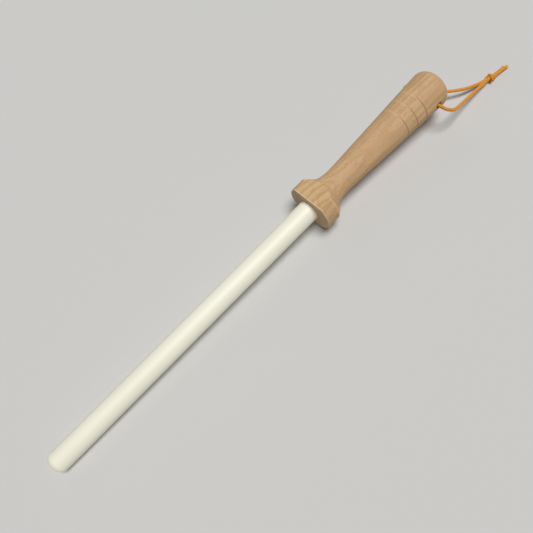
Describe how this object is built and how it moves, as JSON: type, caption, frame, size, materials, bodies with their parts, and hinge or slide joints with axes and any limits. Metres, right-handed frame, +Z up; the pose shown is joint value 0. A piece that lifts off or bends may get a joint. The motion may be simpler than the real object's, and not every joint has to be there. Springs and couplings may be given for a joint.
{
  "type": "knife sharpening steel",
  "caption": "White ceramic sharpening rod glued into a turned beech handle with a round guard, one anti-roll flat and a knotted hanging cord.",
  "frame": {"origin": "on the bench under the middle of the tool's length, cord left out, with the tool lying on its guard rim and its tip", "axes": "+X along the tool towards the pommel, +Z up through the guard's flat, hanging hole along Y"},
  "size_m": [0.3924, 0.0386, 0.035],
  "materials": {
    "ceramic": "fine matt, ground",
    "glue": "cured epoxy",
    "beech": "turned and sanded, unvarnished",
    "cord": "glossy braided cord"
  },
  "bodies": {
    "tool": {"ceramic_rod": "ceramic", "rod_glue": "glue", "beech_handle": "beech"},
    "hanging_loop": {"cord_in_hole": "cord", "loop_strand_right": "cord", "loop_strand_left": "cord", "loop_knot": "cord", "cord_tail_upper": "cord", "cord_tail_lower": "cord"}
  },
  "joints": [
    {"name": "loop_swing", "type": "hinge", "parent": "tool", "child": "hanging_loop", "pos_m": [0.156, 0, 0.0213], "axis": [0, 1, 0], "range_deg": [-165, 85]}
  ]
}
